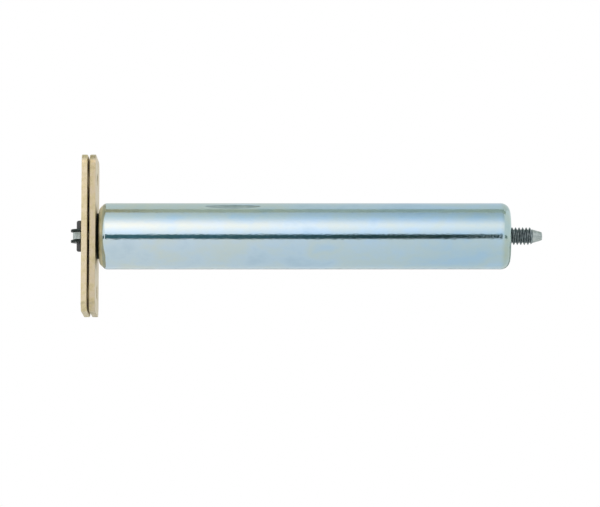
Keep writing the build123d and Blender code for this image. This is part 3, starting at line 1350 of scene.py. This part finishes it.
@dataclass
class PullChain:
    """The nine-link roller chain and the pin that anchors it behind the frame plate.

    Attributes:
        pitch: Distance between the chain's pins.
        links: Number of links, of which the odd ones are inner links.
        roller: Diameter of a roller.
        roller_play: Gap between a roller and its bush.
        roller_edges: Rounding of a roller's inner and outer edges.
        bush: Diameter of a bush.
        bush_play: Gap between a bush and its pin.
        bush_edges: Rounding of a bush's inner and outer edges.
        pin: Diameter of a pin.
        rivet: Corners of a pin's riveted end: how deep each lies under its top, how far out as a
            share of the pin's radius, and its rounding.
        inner_width: Distance between an inner link's plates.
        plate_thick: Thickness of a link plate.
        plate_edge: Soft edge that the stamping leaves round a link plate.
        plate_edge_steps: Steps of that edge.
        hole_play: How much wider a plate's hole is than what it holds.
        inner_height: Height of an inner link plate.
        outer_height: Height of an outer link plate.
        waist: Height of a link plate at its waist.
        end_steps: Steps of a link plate's round end.
        waist_steps: Steps of its waist.
        side_gap: Gap between inner and outer plates, and beside a roller.
        pin_head: How far a pin's riveted end stands out.
        anchor_length: Length of the anchor pin.
        anchor_round: Rounding of its ends.
        masters: The first piece of each kind, which the later ones are copied from.
    """

    pitch: float = 8.0
    links: int = 9
    roller: float = 5.0
    roller_play: float = 0.05
    roller_edges: tuple[float, float] = (0.1, 0.18)
    bush: float = 3.5
    bush_play: float = 0.025
    bush_edges: tuple[float, float] = (0.08, 0.12)
    pin: float = 2.31
    rivet: tuple[Corner, ...] = ((0.0, 0.0, 0.0), (0.0, 0.35, 0.1), (0.08, 0.55, 0.2), (0.22, 1.0, 0.2))
    inner_width: float = 3.0
    plate_thick: float = 0.85
    plate_edge: float = 0.12
    plate_edge_steps: int = 3
    hole_play: float = 0.02
    inner_height: float = 6.5
    outer_height: float = 6.0
    waist: float = 4.8
    end_steps: int = 20
    waist_steps: int = 8
    side_gap: float = 0.1
    pin_head: float = 0.6
    anchor_length: float = 11.3
    anchor_round: float = 0.7
    masters: dict[str, bpy.types.Object] = field(default_factory=dict)

    def build(self) -> None:
        """Models and dresses the anchor pin and every link."""
        anchor_x = sum(node_span("anchor_pin")) / 2
        self.build_anchor(anchor_x)
        for number in range(1, self.links + 1):
            build_link = self.build_inner_link if number % 2 else self.build_outer_link
            build_link(f"chain_link_{number}", anchor_x + (number - 1) * self.pitch)

    def build_anchor(self, x: float) -> None:
        """Models and dresses the anchor pin.

        Args:
            x: Where the pin crosses the tube's axis.
        """
        half = self.anchor_length / 2
        pin = plain_turned(
            "anchor_cross_pin", (-half, half), (0, self.pin / 2), LINK_STEPS, (0, self.anchor_round)
        )
        swing_to_cross(pin, x)
        even_shading(pin)
        dress(pin, BLACK_OXIDE, "frame_end", "anchor_pin")

    def piece(
        self, kind: str, name: str, x: float, make: Callable[[float], bpy.types.Object]
    ) -> bpy.types.Object:
        """Models the first piece of a kind and copies it for every later one.

        Args:
            kind: Which kind of chain piece it is.
            name: The new piece's name.
            x: Where the piece's link starts.
            make: Models the piece for a link that starts at x.

        Returns:
            The piece.
        """
        master = self.masters.get(kind)
        if master:
            return copy_along(master, name, x - master["link_x"])
        made = self.masters[kind] = make(x)
        made.name = name
        made["link_x"] = x
        return made

    def build_inner_link(self, body: str, x: float) -> None:
        """Models and dresses an inner link: two plates, two bushes and two rollers.

        Args:
            body: The link's CAD body.
            x: Where its front pin is.
        """
        plates = self.piece(
            "inner plates",
            f"{body}_inner_side_plates",
            x,
            lambda at: self.side_plates(at, self.inner_height, self.bush, self.inner_width),
        )
        dress(plates, CHAIN_PLATE, body, f"{body}_plates")
        bushes = self.piece("bushes", f"{body}_pressed_bushes", x, self.pressed_bushes)
        dress(bushes, CHAIN_ROLLER, body, f"{body}_bushes")
        for end, shift in (("front", 0.0), ("rear", self.pitch)):
            node = f"{body}_roller_{end}"
            roller = self.piece("roller", f"{node}_turned", x + shift, self.one_roller)
            dress(roller, CHAIN_ROLLER, node, node)

    def build_outer_link(self, body: str, x: float) -> None:
        """Models and dresses an outer link: two plates and two riveted pins.

        Args:
            body: The link's CAD body.
            x: Where its front pin is.
        """
        between = self.inner_width + 2 * self.plate_thick + 2 * self.side_gap
        plates = self.piece(
            "outer plates",
            f"{body}_outer_side_plates",
            x,
            lambda at: self.side_plates(at, self.outer_height, self.pin, between),
        )
        dress(plates, CHAIN_PLATE, body, f"{body}_plates")
        pins = self.piece("pins", f"{body}_riveted_pins", x, self.riveted_pins)
        dress(pins, CHAIN_PIN, body, f"{body}_pins")

    def side_outline(self, height: float) -> list[tuple[float, float]]:
        """Draws a link plate's outline: two round ends that two hollow waists join.

        Args:
            height: Height of the plate's round ends.

        Returns:
            The outline's points in order, from the front pin's middle, in millimetres.
        """
        end_radius = height / 2
        half = self.pitch / 2
        waist = self.waist / 2
        waist_radius = (half**2 + waist**2 - end_radius**2) / (2 * (end_radius - waist))
        lean = math.atan2(waist + waist_radius, half)
        front = []
        for k in range(self.end_steps + 1):
            angle = lean + (math.tau - 2 * lean) * k / self.end_steps
            front.append((end_radius * math.cos(angle), end_radius * math.sin(angle)))
        rear = [(self.pitch - u, -v) for u, v in front]
        low_waist, high_waist = [], []
        for k in range(1, self.waist_steps):
            angle = (math.pi / 2 - lean) * (1 - 2 * k / self.waist_steps)
            u = half - waist_radius * math.sin(angle)
            v = waist + waist_radius * (1 - math.cos(angle))
            low_waist.append((u, -v))
            high_waist.append((self.pitch - u, v))
        return front + low_waist + rear + high_waist

    def side_plates(self, x: float, height: float, held: float, between: float) -> bpy.types.Object:
        """Models a link's two plates, stamped with soft edges and pierced twice.

        Args:
            x: Where the link's front pin is.
            height: Height of the plates' round ends.
            held: Diameter of what their holes hold.
            between: Distance between the two plates.

        Returns:
            Both plates as one piece.
        """
        bottom, top = between / 2, between / 2 + self.plate_thick
        outline = ((x + u, v, bottom) for u, v in self.side_outline(height))
        plate = drawn("side_plate", outline, fill="NGON")
        with editing(plate):
            bpy.ops.mesh.extrude_region_move(
                TRANSFORM_OT_translate={"value": (0, 0, self.plate_thick * MM)}
            )
        close_up(plate)
        with editing(plate, lambda a, b: abs(a.z - b.z) < SAME_POINT * MM):
            bpy.ops.mesh.bevel(
                offset=self.plate_edge * MM, segments=self.plate_edge_steps, affect="EDGES"
            )
        radii = (0, (held + self.hole_play) / 2)
        for centre in (x, x + self.pitch):
            drill = plain_turned("link_drill", (bottom - CUT_PAST, top + CUT_PAST), radii, PIN_STEPS)
            swing_to_cross(drill, centre)
            combine(plate, drill, Join.CUT)
        apply_modifier(plate, "MIRROR", use_axis=(False, False, True), use_clip=False)
        close_up(plate)
        even_shading(plate)
        return plate

    def pressed_bushes(self, x: float) -> bpy.types.Object:
        """Models the two bushes that are pressed into an inner link's plates.

        Args:
            x: Where the link's front pin is.

        Returns:
            Both bushes as one piece.
        """
        half = self.inner_width / 2 + self.plate_thick
        radii = (self.pin / 2 + self.bush_play, self.bush / 2)
        bush = plain_turned("bush", (-half, half), radii, LINK_STEPS, self.bush_edges)
        return self.pair(bush, x)

    def one_roller(self, x: float) -> bpy.types.Object:
        """Models one roller on its bush.

        Args:
            x: Where the roller's pin is.

        Returns:
            The roller.
        """
        half = self.inner_width / 2 - self.side_gap
        radii = (self.bush / 2 + self.roller_play, self.roller / 2)
        roller = plain_turned("roller", (-half, half), radii, LINK_STEPS, self.roller_edges)
        swing_to_cross(roller, x)
        even_shading(roller)
        return roller

    def riveted_pins(self, x: float) -> bpy.types.Object:
        """Models an outer link's two pins, with their ends riveted to low domes.

        Args:
            x: Where the link's front pin is.

        Returns:
            Both pins as one piece.
        """
        half = self.inner_width / 2 + 2 * self.plate_thick + self.side_gap + self.pin_head
        radius = self.pin / 2
        low_end = [(depth - half, share * radius, rounding) for depth, share, rounding in self.rivet]
        high_end = [(-z, out, rounding) for z, out, rounding in reversed(low_end)]
        return self.pair(turned("pin", low_end + high_end, PIN_STEPS), x)

    def pair(self, upright: bpy.types.Object, x: float) -> bpy.types.Object:
        """Stands a turned piece at a link's front pin and a copy at its rear pin, and joins the two.

        Args:
            upright: The turned piece.
            x: Where the link's front pin is.

        Returns:
            Both as one object.
        """
        swing_to_cross(upright, x)
        even_shading(upright)
        second = copy_along(upright, "twin", self.pitch)
        pick(upright)
        second.select_set(True)
        bpy.ops.object.join()
        return bpy.context.active_object


# Studio


@dataclass
class Studio:
    """The camera, the lights and the dark and white surroundings of a small product photograph.

    Lengths and places are in metres here, and angles in degrees.

    Attributes:
        lens: Focal length in millimetres, on the sensor's width.
        sensor: Width of the camera's sensor, in millimetres.
        aim: Point that the camera looks at.
        distance: Distance from the aim to the camera.
        elevation: Camera's height angle.
        soft_light: Strength of the light from all round.
        floor_level: Height of the floor.
        floor_size: Length of the floor's sides.
        cloth_tones: Height angles and the softbox cloth's colours there.
        cloth_run: Where along the tube the cloth's brightness changes.
        cloth_light: Its brightness at the start and the end of that run.
        ring_radius: Radius of the dark ring.
        ring_height: Height of the ring.
        ring_level: Height of the ring's middle.
        ring_steps: Steps round the ring.
        ring_opening: Half of the angle over which the ring is open in front.
        ring_ends: Half of the angle over which it is open past each end of the tube.
    """

    lens: float = 218.0
    sensor: float = 36.0
    aim: tuple[float, float, float] = (0.07568, 0.0, -0.0063)
    distance: float = 1.315
    elevation: float = -7.0
    soft_light: float = 1.08
    floor_level: float = -0.32
    floor_size: float = 12.0
    cloth_tones: tuple[tuple[float, str], ...] = (
        (0, "#AEB7BF"),
        (8, "#C2C2C8"),
        (19, "#D1CBCB"),
        (30, "#DFD2CA"),
        (41, "#CEC8C8"),
        (52, "#AFB3BB"),
        (64, "#9DA6A8"),
        (78, "#959A9B"),
    )
    cloth_run: tuple[float, float] = (-0.07, 0.23)
    cloth_light: tuple[float, float] = (2.26, 1.94)
    ring_radius: float = 1.2
    ring_height: float = 0.21
    ring_level: float = -0.145
    ring_steps: int = 96
    ring_opening: float = 37.0
    ring_ends: float = 24.0

    def build(self) -> None:
        """Sets up the camera, the surroundings and the lights."""
        bpy.context.scene.view_settings.view_transform = "Standard"
        self.add_camera()
        self.light_world()
        self.lay_floor()
        self.hang_softbox()
        self.hang_cards()
        self.stand_dark_ring()

    def add_camera(self) -> None:
        """Places the camera and makes it the scene's."""
        camera = bpy.data.objects.new("camera", bpy.data.cameras.new("camera"))
        bpy.context.scene.collection.objects.link(camera)
        camera.data.lens = self.lens
        camera.data.sensor_width = self.sensor
        camera.data.clip_start = 0.01
        camera.data.clip_end = 20.0
        angle = math.radians(self.elevation)
        away = Vector((0.0, -math.cos(angle), math.sin(angle)))
        camera.location = Vector(self.aim) + away * self.distance
        camera.rotation_mode = "QUATERNION"
        camera.rotation_quaternion = (-away).to_track_quat("-Z", "Y")
        bpy.context.scene.camera = camera

    def light_world(self) -> None:
        """Makes the surroundings white to the camera, and a plain soft light to everything else."""
        world = bpy.data.worlds.new("white_surroundings")
        bpy.context.scene.world = world
        tree = empty_tree(world)
        path = add_node(tree, "LightPath")
        seen = add_node(
            tree,
            "Math",
            {0: path.outputs["Is Camera Ray"], 1: path.outputs["Is Transmission Ray"]},
            operation="MAXIMUM",
        )
        soft = add_node(tree, "Background", {"Color": linear("#F2F4F5"), "Strength": self.soft_light})
        white = add_node(tree, "Background", {"Color": linear("#FFFFFF"), "Strength": 1.0})
        mix = add_node(
            tree,
            "MixShader",
            {0: seen.outputs[0], 1: soft.outputs["Background"], 2: white.outputs["Background"]},
        )
        add_node(tree, "OutputWorld", {"Surface": mix.outputs["Shader"]})

    def lay_floor(self) -> None:
        """Lays a pale floor that is clear from beneath, so that low views look through it."""
        deselect()
        bpy.ops.mesh.primitive_plane_add(size=self.floor_size, location=(0, 0, self.floor_level))
        floor = bpy.context.active_object
        floor.name = "studio_floor"
        paint = bpy.data.materials.new("matt_white_floor")
        tree = empty_tree(paint)
        side = add_node(tree, "NewGeometry")
        matt = add_node(tree, "BsdfDiffuse", {"Color": linear("#F7F7F7")})
        clear = add_node(tree, "BsdfTransparent")
        mix = add_node(
            tree,
            "MixShader",
            {0: side.outputs["Backfacing"], 1: matt.outputs["BSDF"], 2: clear.outputs["BSDF"]},
        )
        add_node(tree, "OutputMaterial", {"Surface": mix.outputs["Shader"]})
        floor.data.materials.append(paint)

    def hang_panel(
        self,
        name: str,
        low: float,
        high: float,
        reach: float = 1.1,
        span: tuple[float, float] = (-0.72, 0.88),
        slopes: tuple[float, float] = (0.0, 0.0),
    ) -> bpy.types.Object:
        """Hangs a flat panel along the tube, between two height angles seen from the tube.

        Args:
            name: The panel's name.
            low: Lower edge's height angle; 0 is level towards the camera.
            high: Upper edge's height angle.
            reach: Distance of the panel's middle from the tube.
            span: Where along X it starts and ends.
            slopes: How much the lower and the upper edge's angle rise per metre along the tube.

        Returns:
            The panel, facing the tube and hidden from the camera.
        """
        middle = math.radians((low + high) / 2)
        deselect()
        bpy.ops.mesh.primitive_plane_add(size=2)
        panel = bpy.context.active_object
        panel.name = name
        for corner in panel.data.vertices:
            along = span[corner.co.x > 0] - self.aim[0]
            edge, slope = (high, slopes[1]) if corner.co.y > 0 else (low, slopes[0])
            off = math.radians(edge + slope * along) - middle
            corner.co = (along, reach * math.tan(off), 0)
        place = Matrix.Translation((self.aim[0], -reach * math.cos(middle), reach * math.sin(middle)))
        panel.data.transform(place @ Matrix.Rotation(math.pi / 2 - middle, 4, "X"))
        panel.visible_camera = False
        panel.visible_shadow = False
        return panel

    def paint_panel(
        self,
        panel: bpy.types.Object,
        name: str,
        tones: tuple[str, str],
        change: tuple[float, float],
        glow: bool = False,
    ) -> None:
        """Gives a panel a surface that goes from one colour to another along the tube.

        Args:
            panel: The panel.
            name: The surface's name.
            tones: Hex colours at the tube's front and at its rear.
            change: Where along X the change starts and ends.
            glow: Whether it is a lit cloth and not a matt paint.
        """
        paint = bpy.data.materials.new(name)
        tree = empty_tree(paint)
        place = add_node(tree, "TexCoord").outputs["Object"]
        parts = add_node(tree, "SeparateXYZ", {"Vector": place})
        share = add_node(
            tree, "MapRange", {"Value": parts.outputs["X"], "From Min": change[0], "From Max": change[1]}
        )
        tone = add_node(tree, "ValToRGB", {"Fac": share.outputs["Result"]}, enumerate(tones))
        kind = "Emission" if glow else "BsdfDiffuse"
        cover = add_node(tree, kind, {"Color": tone.outputs["Color"]})
        add_node(tree, "OutputMaterial", {"Surface": cover.outputs[0]})
        panel.data.materials.append(paint)

    def hang_softbox(self) -> None:
        """Hangs the softbox whose reflection is the bright band along the tube."""
        box = self.hang_panel("softbox", low=-1.0, high=83.0, reach=1.25, span=(-0.7, 0.85))
        glow = bpy.data.materials.new("softbox_cloth")
        tree = empty_tree(glow)
        place = add_node(tree, "TexCoord").outputs["Object"]
        parts = add_node(tree, "SeparateXYZ", {"Vector": place})
        ahead = add_node(tree, "Math", {0: parts.outputs["Y"], 1: -1.0}, operation="MULTIPLY")
        angle = add_node(
            tree, "Math", {0: parts.outputs["Z"], 1: ahead.outputs["Value"]}, operation="ARCTAN2"
        )
        share = add_node(
            tree,
            "MapRange",
            {"Value": angle.outputs["Value"], "From Min": 0.0, "From Max": math.pi / 2},
        )
        stops = [(degrees / 90, tone) for degrees, tone in self.cloth_tones]
        fall = add_node(tree, "ValToRGB", {"Fac": share.outputs["Result"]}, stops)
        fall.color_ramp.interpolation = "B_SPLINE"
        light = add_node(
            tree,
            "MapRange",
            {
                "Value": parts.outputs["X"],
                "From Min": self.cloth_run[0],
                "From Max": self.cloth_run[1],
                "To Min": self.cloth_light[0],
                "To Max": self.cloth_light[1],
            },
        )
        cloth = add_node(
            tree, "Emission", {"Color": fall.outputs["Color"], "Strength": light.outputs["Result"]}
        )
        add_node(tree, "OutputMaterial", {"Surface": cloth.outputs["Emission"]})
        box.data.materials.append(glow)

    def hang_cards(self) -> None:
        """Hangs the cards whose reflections are the dark line, the thin line and the top band."""
        front = self.hang_panel(
            "front_dark_card", low=-19.0, high=-0.7, span=(-0.3, 0.236), slopes=(32.0, 4.0)
        )
        self.paint_panel(front, "matt_dark_card", ("#4B6F76", "#354642"), (0.0, 0.15))
        top = self.hang_panel("top_grey_card", low=83.0, high=101.0)
        self.paint_panel(top, "matt_grey_card", ("#B5AA88", "#C6CCBA"), (-0.045, -0.02))
        rear = self.hang_panel("rear_pale_cloth", low=101.0, high=160.0)
        self.paint_panel(rear, "dim_rear_cloth", ("#D9DED5", "#E4E8E6"), (0.0, 0.15), glow=True)

    def stand_dark_ring(self) -> None:
        """Stands a low dark ring round the set, which draws a dark line along the tube from any side."""
        deselect()
        bpy.ops.mesh.primitive_cylinder_add(
            vertices=self.ring_steps,
            radius=self.ring_radius,
            depth=self.ring_height,
            end_fill_type="NOTHING",
            location=(self.aim[0], 0, self.ring_level),
        )
        ring = bpy.context.active_object
        ring.name = "dark_ring"
        bpy.ops.object.transform_apply(location=True, rotation=True, scale=True)
        with editing(ring, self.opens_ring, Part.FACE):
            bpy.ops.mesh.delete(type="FACE")
        self.paint_panel(ring, "matt_dark_ring", ("#48605A", "#97A5A2"), (0.3, 0.8))
        ring.visible_camera = False
        ring.visible_diffuse = False
        ring.visible_shadow = False

    def opens_ring(self, *corners: Vector) -> bool:
        """Says whether a face of the dark ring lies in one of the ring's openings.

        Args:
            *corners: The face's corners.

        Returns:
            True for a face in front of the tube or past one of its ends.
        """
        middle = sum(corners, Vector()) / len(corners)
        aside = abs(middle.x - self.aim[0]) / self.ring_radius
        in_front = middle.y < 0 and aside < math.sin(math.radians(self.ring_opening))
        return in_front or aside > math.cos(math.radians(self.ring_ends))


def main() -> None:
    """Builds every sub-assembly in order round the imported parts."""
    logging.basicConfig(level=logging.INFO, format="%(name)s: %(message)s")
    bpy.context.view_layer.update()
    for assembly in (ClosingPlates, SprungTube, GuideBush, SpringPack, TensionRod, PullChain, Studio):
        assembly().build()


if __name__ == "__main__":
    main()
